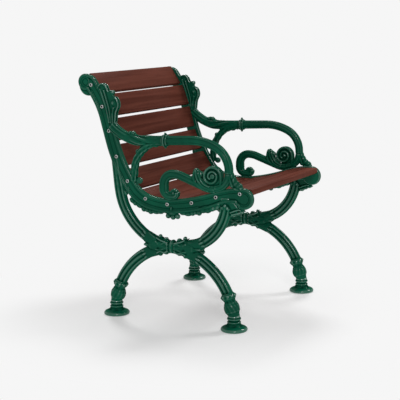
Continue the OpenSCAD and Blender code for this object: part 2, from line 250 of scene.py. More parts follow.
def bar(bm, route, size, relief=None, section=oval, around=48, step=3.0, domes=(6, 6), out=0.0):
    """A cast bar along a route: size(s) gives its width and thickness, relief(s, a) what it is carved with."""
    length = route.length
    rows = [(domes[0] * (1 - math.cos(i * math.pi / 10)), math.sin(i * math.pi / 10)) for i in range(5)]
    middle = length - domes[0] - domes[1]
    count = max(2, math.ceil(middle / step))
    rows += [(domes[0] + middle * i / count, 1.0) for i in range(count + 1)]
    rows += [(length - domes[1] * (1 - math.sin(i * math.pi / 10)), math.cos(i * math.pi / 10)) for i in range(1, 6)]
    rows[0] = (0.0, 0.0)
    rows[-1] = (length, 0.0)
    spots = {row: route.at(row[0]) for row in rows}

    def spot(row, i):
        s, k = row
        point, heading = spots[row]
        a = 2 * math.pi * i / around
        x, y = section(a, *size(s))
        if relief:
            r = math.hypot(x, y)
            grown = (r + relief(s, a)) / r
            x, y = x * grown, y * grown
        place = point + x * k * normal(heading)
        return Vector((place.x, place.y, out + y * k))

    skin(bm, around, rows, spot)


def tube(bm, points, radius, out, around=16):
    """A round bar through a list of places, with one radius or a radius for each place."""
    sizes = radius if isinstance(radius, list) else [radius] * len(points)
    rows = [(0, 0.0)] + [(i, 1.0) for i in range(len(points))] + [(len(points) - 1, 0.0)]

    def spot(row, i):
        j, k = row
        before, after = points[max(j - 1, 0)], points[min(j + 1, len(points) - 1)]
        ahead = (after - before).normalized()
        a = 2 * math.pi * i / around
        place = points[j] + sizes[j] * k * math.cos(a) * Vector((-ahead.y, ahead.x))
        return Vector((place.x, place.y, out + sizes[j] * k * math.sin(a)))

    skin(bm, around, rows, spot)


def lump(bm, p, out, half, turn=0.0):
    """A rounded boss: half its length, width and thickness, turned in the side elevation."""
    place = Matrix.Translation((p[0], p[1], out)) @ Matrix.Rotation(math.radians(turn), 4, "Z")
    bmesh.ops.create_icosphere(bm, subdivisions=3, radius=1.0, matrix=place @ Matrix.Diagonal((*half, 1.0)))


def lobes(bm, rows, half_out):
    """Bosses of one thickness: the place, half length, half width and turn of each."""
    for x, z, long, wide, turn in rows:
        lump(bm, (x, z), 0, (long, wide, half_out), turn)


def turned(bm, centre, profile, steps=72):
    """A turned shape about an axis that points outwards: the profile is radius and height from axis to axis."""
    verts = [bm.verts.new((centre[0] + r, centre[1], h)) for r, h in profile]
    edges = [bm.edges.new(pair) for pair in zip(verts, verts[1:])]
    axis = Vector((centre[0], centre[1], 0))
    bmesh.ops.spin(
        bm, geom=verts + edges, cent=axis, axis=(0, 0, 1), angle=2 * math.pi, steps=steps, use_merge=True
    )
    reach = max(r for r, h in profile) + 1e-3
    near = [v for v in bm.verts if (v.co.xy - axis.xy).length < reach]
    bmesh.ops.remove_doubles(bm, verts=near, dist=1e-4)


def circle_points(centre, radius, start, stop, step=4.0):
    count = max(2, math.ceil(abs(stop - start) / step))
    angles = [math.radians(start + (stop - start) * i / count) for i in range(count + 1)]
    return [Vector(centre) + radius * Vector((math.cos(a), math.sin(a))) for a in angles]


def curved(points, parts=5):
    """A smooth line through a few places."""
    places = [Vector(p) for p in points]
    line = []
    for i, (a, b) in enumerate(zip(places, places[1:])):
        before, after = places[max(i - 1, 0)], places[min(i + 2, len(places) - 1)]
        square = 2 * before - 5 * a + 4 * b - after
        cube = 3 * a - before - 3 * b + after
        for t in (k / parts for k in range(parts)):
            line.append(0.5 * (2 * a + (b - before) * t + square * t * t + cube * t**3))
    return line + [places[-1]]


def rib(bm, points, first, last, out):
    """A raised line through a few places, which goes evenly from its first radius to its last, on both faces."""
    line = curved(points)
    size = [first + (last - first) * i / (len(line) - 1) for i in range(len(line))]
    for side in (-1, 1):
        tube(bm, line, size, side * out, 12)


def plate(bm, outline, half, rim):
    """A flat solid between two faces, with the corners of its outline smoothed and its faces raised a little."""
    part = bmesh.new()
    verts = [part.verts.new((p.x, p.y, -half)) for p in curved(outline + outline[:1], 3)[:-1]]
    edges = [part.edges.new(pair) for pair in zip(verts, verts[1:] + verts[:1])]
    faces = bmesh.ops.edgeloop_fill(part, edges=edges)["faces"]
    top = bmesh.ops.extrude_face_region(part, geom=faces)["geom"]
    bmesh.ops.translate(part, vec=(0, 0, 2 * half), verts=[v for v in top if isinstance(v, bmesh.types.BMVert)])
    bmesh.ops.recalc_face_normals(part, faces=part.faces)
    flat = [f for f in part.faces if abs(f.normal.z) > 0.9]
    bmesh.ops.inset_individual(part, faces=flat, thickness=rim, depth=rim * 0.5)
    add_to(bm, part)


# Rail
def meeting_with_top(offset, radius):
    """Distance along the rail at which its edge, moved aside by offset, meets the rim of the top scroll."""
    for i in range(320):
        s = RAIL.length - i * 0.5
        if (RAIL.beside(s, offset) - TOP).length > radius:
            return s
    raise RuntimeError("the rail's edge doesn't leave the scroll")


def rail_edge(offset, start, stop, step=5.0):
    count = max(2, math.ceil((stop - start) / step))
    return [RAIL.beside(start + (stop - start) * i / count, offset) for i in range(count + 1)]


def angle_of(p, centre):
    return math.degrees(math.atan2(p.y - centre.y, p.x - centre.x))


def build_rail(bm):
    sizes = bpy.context.scene.armchair_sizes
    bead = sizes.bead_radius / MM
    ridge = sizes.ridge_radius / MM
    edge = RAIL_DEPTH / 2 - bead
    inner = edge - bead - 1.2
    bar(bm, RAIL, lambda s: (RAIL_DEPTH - 1.0, WEB_OUT - WEB_IN), section=squared(9.0), around=56, step=6.0,
        domes=(1, 1), out=(WEB_IN + WEB_OUT) / 2)
    crest = RAIL.beside(RAIL.length, RAIL_DEPTH / 2 - CREST_R)
    for centre, radius in ((NOSE, NOSE_R), (TOP, TOP_R), (crest, CREST_R)):
        r = radius - 0.6
        disc = [(0, WEB_IN), (r - 2, WEB_IN), (r, WEB_IN + 2), (r, WEB_OUT - 0.5), (r - 1, WEB_OUT), (0, WEB_OUT)]
        turned(bm, centre, disc)
    # Rolled edge: round the nose, along the seat and back, and round both scrolls at the top
    nose_ring = NOSE_R - bead
    top_ring = TOP_R - bead
    crest_ring = CREST_R - bead
    to_top = TOP - crest
    d = to_top.length
    turn = math.acos((crest_ring**2 - top_ring**2 + d**2) / (2 * crest_ring * d))
    crest_stop = math.degrees(math.atan2(to_top.y, to_top.x) + turn)
    crest_arc = circle_points(crest, crest_ring, RAIL.end()[1] + 88, crest_stop)
    rim = list(reversed(circle_points(NOSE, nose_ring, 90, 296))) + rail_edge(edge, 2, RAIL.length) + crest_arc
    tube(bm, rim, bead, WEB_OUT)
    low_top = meeting_with_top(-edge, top_ring)
    top_angle = angle_of(RAIL.beside(low_top, -edge), TOP)
    scroll_start = angle_of(crest_arc[-1], TOP)
    scroll_stop = top_angle - (360 if top_angle > scroll_start else 0)
    tube(bm, circle_points(TOP, top_ring, scroll_start, scroll_stop), bead, WEB_OUT)
    # The lower edge draws in over the leg's top and turns down into the nose
    drawn_in = [(30, 18), (60, 16), (85, 15.5), (112, 17), (140, 19), (165, edge)]
    under = [Vector(p) for p in ((-253, 402.5), (-249.5, 407.5), (-245.5, 413), (-240, 416))]
    under += [RAIL.beside(s, -along(drawn_in, s)) for s in range(30, 165, 5)]
    tube(bm, under + rail_edge(-edge, 165, low_top + 3), bead, WEB_OUT)
    # Fine line inside the rolled edge
    line = list(reversed(circle_points(NOSE, nose_ring - bead - 1.6, 92, 300)))
    tube(bm, line + rail_edge(inner, 2, RAIL.length - 6), ridge, WEB_OUT, 10)
    tube(bm, rail_edge(-inner, 170, low_top - 14), ridge, WEB_OUT, 10)
    tube(bm, circle_points(TOP, top_ring - bead - 2.0, scroll_start + 30, top_angle - 360), ridge, WEB_OUT, 10)
    rail_leaves(bm)


BACK_LEAF = [
    (224, 648), (212, 646), (209, 660), (207, 675), (205, 690), (201, 699), (196, 710), (196, 722), (200, 733),
    (208, 741), (215, 747), (212, 753), (212, 760), (218, 764), (225, 762), (231, 758), (236, 764), (241, 775),
    (248, 782), (258, 784), (268, 779), (274, 770), (262, 748), (250, 724), (240, 700), (232, 672),
]


def rail_leaves(bm):
    # Leaf on the front edge of the back: a large lobe with a boss, a knob, and a curled lobe at the top
    plate(bm, BACK_LEAF, 5.5, 4)
    rib(bm, BACK_LEAF[1:10], 2.2, 2.8, 7)
    rib(bm, BACK_LEAF[15:22], 2.6, 2.8, 6.5)
    lump(bm, (218, 757), 0, (6.5, 7, 9))
    lump(bm, (255, 768), 0, (14, 12, 9), 50)
    lump(bm, (213, 722), 0, (16, 17, 9.5), 80)
    lump(bm, (214, 722), 0, (9.5, 10.5, 12))
    lump(bm, (237, 731), 0, (8, 7, 9), 60)
    lump(bm, (214, 690), 0, (17, 7, 8), 92)
    rib(bm, [(231, 655), (234, 676), (241, 705), (252, 738), (263, 768)], 2.6, 3.4, 7.5)
    rib(bm, [(224, 655), (226, 680), (229, 702), (237, 730), (248, 764)], 2.6, 3.2, 8.5)
    rib(bm, [(217, 652), (217, 672), (216, 690), (211, 708)], 2.4, 3.2, 8)
    rib(bm, [(240, 690), (247, 712), (260, 742), (270, 764)], 1.8, 2.4, 6)
    # Drops under the seat: a cluster of three in the middle, and a sprig to each side
    lobes(bm, ((13, 358, 9.5, 9.5, 0), (-5, 354.5, 9, 9, 0), (-22, 358, 9, 9, 0)), 9)
    lump(bm, (-4, 368), 1, (17, 9, 9.5))
    lobes(bm, (
        (150, 399, 13, 9, 35), (139, 391, 9, 9, 0), (124, 385, 14, 9, 28), (106, 374, 10, 10, 0),
        (93, 371, 10, 8, 20), (80, 367, 9.5, 9.5, 0), (64, 367, 17, 7, 12), (44, 366, 12, 5, 5),
        (-46, 369, 14, 5, -8), (-63, 369, 15, 7, -8), (-78, 373, 9, 9, 0), (-90, 376, 8, 7.5, 0),
        (-102, 376, 9.5, 9.5, 0), (-119, 385, 14, 9, -16), (-134, 387, 14, 10, -12), (-150, 393, 14, 9, -18),
        (-166, 400, 14, 9, -22), (190, 409, 11, 8, 40), (202, 421, 10, 7, 50), (176, 424, 10, 8, 55),
    ), 8.5)
    for x, z, turn in ((120, 396, 30), (92, 382, 18), (-92, 386, -14), (-122, 396, -20), (0, 376, 90)):
        lump(bm, (x, z), 4.0, (13, 3.6, 3.4), turn)


# Legs
# Circles whose hull is a leg's section: two for the rounded sides, and for each face a wide reed and two narrow ones
LEG_CIRCLES = [(10, 0, 10), (-10, 0, 10), (0, 7, 7), (0, -7, 7)]
LEG_CIRCLES += [(sx * 12.5, sy * 7.6, 4.4) for sx in (-1, 1) for sy in (-1, 1)]


def reeded(a, w, t):
    """Section of a leg: rounded sides, and on each face one wide reed between two narrow ones."""
    c, s = math.cos(a), math.sin(a)
    reach = 0.0
    for x, y, r in LEG_CIRCLES:
        room = r * r - (x * s - y * c) ** 2
        if room > 0:
            reach = max(reach, x * c + y * s + math.sqrt(room))
    x, y = reach * c, reach * s
    return x * w / LEG_W, y * t / LEG_T


def leg_size(s):
    return LEG_W, LEG_T


def build_legs(bm):
    lower = lower_leg_route()
    for mirrored in (False, True):
        part = bmesh.new()
        build_lower_leg(part, lower)
        if mirrored:
            bmesh.ops.scale(part, vec=(-1, 1, 1), verts=part.verts)
        add_to(bm, part)
    sinks = 150
    rear = Route((-16, CLASP_Z - 3), 0, [(REAR_R, 55), (190, 24), (0, sinks)]).after(45)
    front = Route((-36, CLASP_Z + 6), 180, [(0, 3), (FRONT_R, -81), (0, 5)])
    bar(bm, rear, fade_out(rear, sinks), section=reeded, around=64, domes=(2, 12))
    bar(bm, front, leg_size, section=reeded, around=64, domes=(2, 4))
    bar(bm, Route(front.end()[0] + Vector((3, -20)), 90, [(0, 50)]), lambda s: (34.0, 14.0))
    build_clasp(bm)
    # Leaf sheaths: the limb, where its sheath starts, the limb's radius and side, and the sheath's length
    for limb, start, radius, side, length in (
        (rear, 24, REAR_R, 1, 56), (front, 24, FRONT_R, -1, 56), (lower, 60, LEG_R, -1, 58),
    ):
        route = Route(*limb.at(start), [(radius, side * math.degrees(length / radius))])
        sheath(bm, route)
    sheath(bm, route.mirrored())
    build_nose_leaf(bm, front.end()[0])


def lower_leg_route():
    """From the crown under the clasp down to the knee, on the rear side."""
    crown = CLASP_Z - 2
    turn = math.degrees(math.acos(1 - (crown - KNEE.y) / LEG_R))
    start = Vector((KNEE.x - LEG_R * math.sin(math.radians(turn)), crown))
    return Route(start, 0, [(LEG_R, -turn), (0, 4)])


def build_lower_leg(bm, lower):
    """Reeded limb down to the knee, and the leaf bulb that reaches a little into it and into the foot."""
    axis = FOOT_TOP - KNEE
    heading = math.degrees(math.atan2(axis.y, axis.x))
    above, below = 7, 8
    bulb = Route(KNEE - axis.normalized() * above, heading, [(0, axis.length + above + below)])
    profile = [(0, 19), (5, 20.5), (8, 25.5), (12, 26.5), (16, 23), (19, 22.5), (23, 19), (28, 18), (36, 21.5),
               (46, 25), (54, 25.5), (62, 24), (68, 20), (74, 18.5), (90, 17.5)]

    def bulb_size(s):
        r = along(profile, s, smooth)
        return 2 * r, min(2 * r, 46)

    def bulb_relief(s, a):
        beads = 1.5 * bell(s - 12, 5) * math.cos(10 * a)
        leaves = 1.9 * bell(s - 46, 22) * (abs(math.cos(2.5 * a + 0.6)) - 0.5)
        veins = 0.7 * bell(s - 46, 20) * math.cos(12 * a + s / 7)
        return beads + leaves + veins

    def lower_relief(s, a):
        return 1.2 * bell(lower.length - s, 10) * math.cos(5 * a)

    bar(bm, lower.after(20), leg_size, lower_relief, reeded, 64, domes=(2, 2))
    bar(bm, bulb, bulb_size, bulb_relief, squared(2.1), 56, 1.6, (2, 2))


def build_nose_leaf(bm, leg_top):
    """Leaf where the front leg leaves the rail: a strip to the front under the nose, and small lobes behind."""
    plate(bm, [(-212, 372), (-224, 374), (-238, 380), (-250, 386), (-262, 389), (-268, 393), (-260, 399),
               (-246, 402), (-238, 409), (-230, 419), (-212, 419), (-204, 408)], 4.5, 2)
    rib(bm, [(-222, 379), (-238, 384), (-254, 389), (-266, 393)], 3.4, 2.0, 8.5)
    rib(bm, [(-218, 386), (-230, 391), (-244, 396), (-254, 397)], 3.0, 2.0, 8.5)
    lobes(bm, ((-256, 392, 6.5, 6.5, 0), (-241, 388, 8, 8, 0), (-227, 381, 8, 8, 0)), 9.5)
    lobes(bm, ((-172, 400, 15, 8, -38), (-157, 395, 11, 8, -25), (-176, 411, 9, 6, -50)), 9)
    # Rounded heads of the leg's reeds
    for x, half in ((-8.5, 4.2), (0, 6.0), (8.5, 4.2)):
        for out in (-9.5, 9.5):
            lump(bm, leg_top + Vector((x, 1 - 0.6 * abs(x))), out, (half, half * 1.5, 5.0))


def fade_out(route, length):
    """Full size up to the last stretch, where a leg sinks into the rail."""

    def size(s):
        t = smooth(max(0.0, (s - (route.length - length)) / length))
        return LEG_W - 16.0 * t, LEG_T - 22.0 * t

    return size


def sheath(bm, route):
    """Leaf wrapped round a limb, with deep veins and lobes where it ends."""

    def relief(s, a):
        grow = min(1.0, s / 20)
        return 1.5 * math.cos(6 * a + 0.8 * math.sin(2 * a) + s / 16) * grow * (1 - 0.5 * s / route.length)

    bar(bm, route, tapered(route, (42, 33), (39, 29)), relief, around=72, step=2.0, domes=(8, 8))
    point, heading = route.end()
    for aside, out, turn in ((-10, 10, -16), (0, 13, 0), (10, 10, 16)):
        for face in (-1, 1):
            lump(bm, point + aside * normal(heading), face * out, (12, 4.5, 4), heading + turn)


def build_clasp(bm):
    """Band where the limbs cross, with a leaf on each side that closes to a tip between the limbs."""
    centre, middle, reach = -2, CLASP_Z + 1, 112
    spindle = Route((centre - reach, middle), 0, [(0, 2 * reach)])
    half = [(0, 21.5), (5, 21.5), (8, 18.5), (12, 18.5), (18, 22), (24, 25), (30, 25), (36, 24.5), (41, 27), (46, 30),
            (50, 30), (54, 27), (62, 24), (74, 20), (88, 13), (100, 7), (107, 4), (112, 1)]

    def clasp_size(s):
        r = along(half, abs(s - reach))
        return 2 * r, min(2 * r, 35)

    def clasp_relief(s, a):
        d = abs(s - reach)
        return 1.6 * bell(d - 48, 6) * math.cos(9 * a) + 1.8 * bell(d, 2.6) - 2.4 * bell(d - 9.5, 3)

    bar(bm, spindle, clasp_size, clasp_relief, squared(2.6), 72, 1.5, (1, 1))
    for side in (-1, 1):
        def there(x, z):
            return (centre + side * x, middle + z)

        # Knobs above and below
        for x, z, long, wide in ((47, 31, 6.5, 6.5), (47, -30, 6.5, 6.5), (25, 25, 7.5, 4.5), (25, -25, 7.5, 4.5)):
            lump(bm, there(x, z), 0, (long, wide, 9))
        # Deep veins that fan out from the band, and the tip of the leaf
        for k in (-2, -1, 0, 1, 2):
            swing = 3 if k % 2 else -2
            vein = [(12, 6 * k), (24, 9 * k + swing), (40, 9.5 * k - swing), (62 - 4 * abs(k), 13 * k + 2)]
            rib(bm, [there(*p) for p in vein], 3.2, 2.2, 16)
        for k in (-1, 0, 1):
            vein = [(58, 7 * k), (76, 6 * k), (92, 4.5 * k), (106, 2 * k)]
            rib(bm, [there(*p) for p in vein], 3.4, 1.6, 12 - 2 * abs(k))


# Arms
COLLAR_S = 190


def grooved(s, a):
    """Two long grooves down each face of a bar, with a low rib between them."""
    q = math.cos(a)
    face = min(1.0, abs(math.sin(a)) * 1.6)
    return face * (0.9 * bell(q, 0.22) - 1.7 * bell(abs(q) - 0.42, 0.1) + 0.6 * bell(abs(q) - 0.66, 0.12))


def arm_relief(s, a):
    """Behind the collar the bar is wrapped in a long leaf, in front of it the bar is grooved."""
    if s >= COLLAR_S:
        return grooved(s, a) * blend(0.5, 1.0, (s - COLLAR_S) / 60)
    wrap = bell(s - 120, 55)
    lines = 1.3 * math.cos(9 * a) * (1.0 if s < 70 else 0.6)
    veins = 2.3 * wrap * math.cos(7 * a + s / 11 + 0.9 * math.sin(2 * a))
    return blend(lines, veins, wrap * 1.3)


def branch_relief(s, a):
    """Fine lines, and carved veins that run back from the middle rib of a leaf wrapped round the branch."""
    side = abs(math.cos(a))
    veins = 1.4 * (math.sin(2 * math.pi * (s / 24 - 0.9 * side)) * 0.5 + 0.5) * (0.35 + 0.65 * side)
    return 1.3 * math.cos(6 * a + s / 16) + veins - 0.7


def build_arm(bm):
    bar(bm, ARM, tapered(ARM, (34, 26), (27, 26)), arm_relief, around=64, domes=(1, 1))
    bar(bm, HOOK, tapered(HOOK, (27, 26), (23, 22)), grooved, domes=(3, 3))
    bar(bm, TOE, tapered(TOE, (23, 22), (18, 18)), grooved, domes=(2, 6))
    bar(bm, BRANCH, tapered(BRANCH, (25, 23), (23, 20)), branch_relief, domes=(4, 6))
    lump(bm, BRANCH.end()[0] + Vector((-20, 6)), 0, (12, 11, 9))
    loop = Route((0, 0), 0, SCROLL_SPANS).length
    curl = loop + Route((0, 0), 0, LOOP_SPANS).length
    widths = [(0, 25), (loop, 29), (curl, 34), (SCROLL.length, 14)]
    bar(bm, SCROLL, lambda s: (along(widths, s), 22), grooved, step=2.5, domes=(3, 3))
    r = SMALL_VOLUTE_R - 5
    turned(bm, SMALL_VOLUTE, [(0, -7), (r - 2, -7), (r, -5), (r, 5), (r - 2, 7), (5.5, 7.5), (4.5, 10), (0, 11)], 40)
    r = VOLUTE_R - 4
    eye = [(6.5, 6), (5.5, 11), (3, 12.5), (0, 13)]
    turned(bm, VOLUTE, [(0, -5.5), (r - 2, -5.5), (r, -4), (r, 4), (r - 2, 5.5)] + eye, 56)
    lump(bm, VOLUTE, -9, (6, 6, 4))
    lump(bm, VOLUTE, 9, (8.5, 8.5, 6))
    bar(bm, SPIRAL, tapered(SPIRAL, (10.5, 22), (8, 26)), None, squared(3.0), 24, 2.0, (2, 3))
    arm_leaves(bm)
    bmesh.ops.translate(bm, vec=(0, 0, ARM_OUT), verts=bm.verts)


def arm_leaves(bm):
    # Collar of three turned rings, with a knob above and below
    rings = [(0, 17), (2, 19), (4, 19.4), (6, 17.4), (7, 18), (9, 22.5), (12, 22.5), (14, 18), (15, 17.4),
             (17, 19.4), (19, 19), (21, 17)]

    def ring_size(s):
        return 2 * along(rings, s), 2 * along(rings, s) - 4

    bar(bm, Route((6.5, ARM_Z + 1), 0, [(0, 21)]), ring_size, None, squared(2.2), 48, 0.9, (0.5, 0.5))
    for z in (23, -22):
        lump(bm, (17, ARM_Z + 1 + z), 0, (4.2, 4.2, 4.2))
    # Leaf on top of the arm, and the notches of the branch's leaf
    lobes(bm, (
        (139, 623.5, 10, 8, 30), (151, 624.5, 9, 7, -8), (163, 620.5, 10, 5, -20), (128, 616.5, 12, 6, 24),
        (108, 591.5, 9, 6, 70), (124, 564.5, 8, 6, 80), (96, 597.5, 10, 6, 10), (60, 589.5, 16, 7, 14),
        (84, 583.5, 14, 7, -30),
    ), 9)
    # Leaf at the armrest's front foot
    lobes(bm, (
        (-248, 472.5, 12, 11, 0), (-239, 479.5, 12, 10, 60), (-232, 490.5, 14, 7, 75), (-240, 463.5, 13, 7, 10),
        (-256, 466.5, 6, 6, 0), (-226, 503.5, 14, 5, 80),
    ), 10.5)
    # Leaf that stands up from the scroll behind the large volute: three ribs that rise to a curled tip
    plate(bm, [(-150, 450), (-128, 450), (-106, 458), (-88, 472), (-84, 490), (-86, 508), (-90, 518), (-96, 521),
               (-103, 517), (-110, 512), (-118, 507), (-119, 499), (-115, 492), (-124, 482), (-136, 472)], 7.5, 3)
    rib(bm, [(-143, 451), (-118, 459), (-97, 474), (-89, 492), (-93, 512)], 4.4, 5.0, 7.5)
    rib(bm, [(-146, 457), (-125, 464), (-109, 478), (-101, 495), (-97, 515)], 4.0, 4.6, 8.5)
    rib(bm, [(-146, 464), (-131, 470), (-119, 480), (-112, 493), (-106, 509)], 3.6, 4.6, 8)
    lump(bm, (-96, 514), 0, (8, 7, 12), 80)
    lump(bm, (-115, 503), 0, (6, 5.5, 10), 40)
    lump(bm, (-80, 489), 0, (8, 5, 9), 30)


def add_to(bm, part):
    """Moves the finished shapes of one bmesh into another."""
    mesh = bpy.data.meshes.new("part")
    part.to_mesh(mesh)
    part.free()
    bm.from_mesh(mesh)
    bpy.data.meshes.remove(mesh)


def new_object(bm, name):
    """Makes an object of a bmesh's shapes, and frees the bmesh."""
    mesh = bpy.data.meshes.new(name)
    bm.to_mesh(mesh)
    bm.free()
    made = bpy.data.objects.new(name, mesh)
    bpy.context.scene.collection.objects.link(made)
    return made


def cast(name, bm, voxel):
    """Fuses the shapes into one skin, as the casting is, and returns its mesh, flat and in millimetres."""
    bmesh.ops.recalc_face_normals(bm, faces=bm.faces)
    rough = new_object(bm, name)
    mesh = rough.data
    remesh = rough.modifiers.new("Fuse", "REMESH")
    remesh.mode = "VOXEL"
    remesh.voxel_size = voxel
    remesh.use_smooth_shade = True
    graph = bpy.context.evaluated_depsgraph_get()
    fused = bpy.data.meshes.new_from_object(rough.evaluated_get(graph), depsgraph=graph)
    bpy.data.objects.remove(rough)
    bpy.data.meshes.remove(mesh)
    bm = bmesh.new()
    bm.from_mesh(fused)
    bpy.data.meshes.remove(fused)
    soften(bm, 1)
    mark_relief(bm)
    return bm


def soften(bm, times):
    for _ in range(times):
        bmesh.ops.smooth_vert(bm, verts=bm.verts, factor=0.5, use_axis_x=True, use_axis_y=True, use_axis_z=True)


def mark_relief(bm, times=16):
    """Keeps on each point how far it stands above a much smoother skin: crests above nought, hollows below."""
    smoother = bm.copy()
    soften(smoother, times)
    layer = bm.verts.layers.float.new("relief")
    bm.normal_update()
    for v, w in zip(bm.verts, smoother.verts):
        v[layer] = (v.co - w.co).dot(v.normal)
    smoother.free()


def add_piece(bm, name, node, finishes):
    """Makes an object that rides on the body and stands for its CAD node, and frees the bmesh."""
    for face in bm.faces:
        face.smooth = True
    piece = new_object(bm, name)
    for finish in finishes:
        piece.data.materials.append(finish)
    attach(piece, BODY)
    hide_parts(node)
    return piece


def stand_up(bm, side, name, node, finishes):
    """Puts what is drawn flat at its place on one side of the chair."""
    half = bpy.context.scene.armchair_sizes.frame_spacing / 2 / MM
    standing = bm.copy()
    for v in standing.verts:
        y, z, out = v.co
        v.co = Vector((side * (half + out), y - ORIGIN_Y, z)) * MM
    if side < 0:
        bmesh.ops.reverse_faces(standing, faces=standing.faces)
    return add_piece(standing, name, node, finishes)


def make_casting(kind, build, voxel):
    bm = bmesh.new()
    build(bm)
    bm = cast(kind, bm, voxel)
    for word, side in SIDES.items():
        stand_up(bm, side, "%s_cast_%s" % (word, kind), "%s_%s" % (word, kind), [paint_finish()])
    bm.free()


# Materials
class Value:
    """A socket that can be used in arithmetic."""

    def __init__(self, nodes, socket):
        self.nodes = nodes
        self.socket = socket

    def maths(self, operation, a, b):
        node = self.nodes.node("ShaderNodeMath", {"operation": operation}, {0: a, 1: b})
        return Value(self.nodes, node.outputs[0])

    def __add__(self, other):
        return self.maths("ADD", self, other)

    def __radd__(self, other):
        return self.maths("ADD", other, self)

    def __sub__(self, other):
        return self.maths("SUBTRACT", self, other)

    def __rsub__(self, other):
        return self.maths("SUBTRACT", other, self)

    def __mul__(self, other):
        return self.maths("MULTIPLY", self, other)

    def __rmul__(self, other):
        return self.maths("MULTIPLY", other, self)

    def between(self, low, high):
        """Nought below low, one above high."""
        node = self.nodes.node(
            "ShaderNodeMapRange", {"interpolation_type": "SMOOTHSTEP"}, {0: self, 1: low, 2: high, 3: 0.0, 4: 1.0}
        )
        return Value(self.nodes, node.outputs[0])


class Nodes:
    """The node tree of a material or a world, built up node by node."""

    def __init__(self, owner):
        owner.use_nodes = True
        self.tree = owner.node_tree

    def node(self, kind, settings=None, inputs=None):
        node = self.tree.nodes.new(kind)
        for key, value in (settings or {}).items():
            setattr(node, key, value)
        for key, value in (inputs or {}).items():
            self.feed(node.inputs[key], value)
        return node

    def feed(self, socket, value):
        if isinstance(value, Value):
            self.tree.links.new(value.socket, socket)
        elif isinstance(value, bpy.types.NodeSocket):
            self.tree.links.new(value, socket)
        else:
            socket.default_value = value


class Finish(Nodes):
    """A procedural material."""

    def __init__(self, name):
        self.material = bpy.data.materials.new(name)
        super().__init__(self.material)
        self.shader = next(n for n in self.tree.nodes if n.type == "BSDF_PRINCIPLED")
        self.output = next(n for n in self.tree.nodes if n.type == "OUTPUT_MATERIAL")

    def place(self, scale=(1, 1, 1), turn=(0, 0, 0), move=(0, 0, 0)):
        """Object coordinates in metres, stretched for a pattern."""
        where = self.node("ShaderNodeTexCoord").outputs["Object"]
        inputs = {"Vector": where, "Scale": scale, "Rotation": turn, "Location": move}
        return self.node("ShaderNodeMapping", {"vector_type": "POINT"}, inputs).outputs[0]

    def noise(self, where, scale, detail=3.0, rough=0.5, warp=0.0):
        inputs = {"Vector": where, "Scale": scale, "Detail": detail, "Roughness": rough, "Distortion": warp}
        return Value(self, self.node("ShaderNodeTexNoise", {}, inputs).outputs[0])

    def mix(self, factor, a, b, kind="MIX"):
        inputs = {0: factor, 6: a, 7: b}
        return self.node("ShaderNodeMix", {"data_type": "RGBA", "blend_type": kind}, inputs).outputs[2]

    def bump(self, height, strength, distance, under=None):
        inputs = {"Height": height, "Strength": strength, "Distance": distance}
        if under is not None:
            inputs["Normal"] = under
        return self.node("ShaderNodeBump", {}, inputs).outputs[0]

    def set(self, **values):
        for key, value in values.items():
            self.feed(self.shader.inputs[key.replace("_", " ").title().replace("Ior", "IOR")], value)


def colour(rgb, level=1.0):
    return (*(c * level for c in rgb), 1.0)


def grey(level):
    return (level, level, level, 1.0)


@functools.cache
def paint_finish():
    """Green enamel over cast metal, with painted shade in the hollows and a painted highlight on the crests, where its
    gloss coat is fullest.
    """
    looks = bpy.context.scene.armchair_looks
    f = Finish("green_enamel")
    where = f.place()
    broad = f.noise(where, 9.0, 2.0)
    flow = f.noise(where, 70.0, 3.0, 0.55, 0.6)
    grit = f.noise(where, 420.0, 2.0, 0.6)
    relief = Value(f, f.node("ShaderNodeAttribute", {"attribute_name": "relief"}).outputs["Fac"])
    hollow = 1.0 - relief.between(-0.5, -0.02)
    crest = relief.between(0.22, 0.95)
    base = f.mix(broad.between(0.35, 0.7), colour(looks.paint_dark), colour(looks.paint))
    # Painted shade: the hollows are darkened towards a quarter of the darker enamel colour
    base = f.mix(hollow * 0.75, base, colour(looks.paint_dark, 0.25))
    # Painted highlight: the crests are lightened towards the crest colour, more where the flow noise is high
    base = f.mix(crest * (0.35 + flow * 0.5), base, colour(looks.paint_crest_highlight))
    f.set(
        base_color=base,
        roughness=0.34 + 0.14 * flow + 0.1 * hollow,
        coat_weight=(0.06 + 0.94 * crest) * (1.0 - hollow),
        normal=f.bump(grit, 0.1, 0.0003, f.bump(flow, 0.14, 0.0008)),
        specular_ior_level=0.0,
        coat_roughness=0.07,
        coat_ior=1.8,
    )
    return f.material


@functools.cache
def wood_finish():
    """Red-brown stained hardwood: long fine grain, pores, slow colour drift and a satin varnish."""
    looks = bpy.context.scene.armchair_looks
    f = Finish("stained_hardwood")
    drift = f.noise(f.place((1.5, 7, 7)), 2.0, 2.0)
    bands = f.noise(f.place((2.2, 60, 60), move=(3.1, 0.4, 0.7)), 1.0, 4.0, 0.55, 0.8)
    streaks = f.noise(f.place((9, 420, 420)), 1.0, 3.0, 0.6)
    pores = f.noise(f.place((40, 1300, 1300)), 1.0, 2.0, 0.5)
    base = f.mix(bands.between(0.3, 0.72), colour(looks.wood_dark), colour(looks.wood))
    base = f.mix(streaks.between(0.45, 0.75) * 0.3, base, colour(looks.wood_dark, 0.62))
    base = f.mix(pores.between(0.62, 0.72) * 0.5, base, colour(looks.wood_dark, 0.4))
    base = f.mix(drift.between(0.45, 0.75) * 0.35, base, colour(looks.wood, 1.25))
    f.set(
        base_color=base,
        roughness=0.55 + 0.2 * streaks,
        coat_weight=0.03 + 0.05 * bands,
        normal=f.bump(pores, 0.3, 0.0003, f.bump(streaks, 0.25, 0.0005)),
        specular_ior_level=0.0,
        coat_roughness=0.35,
    )
    return f.material


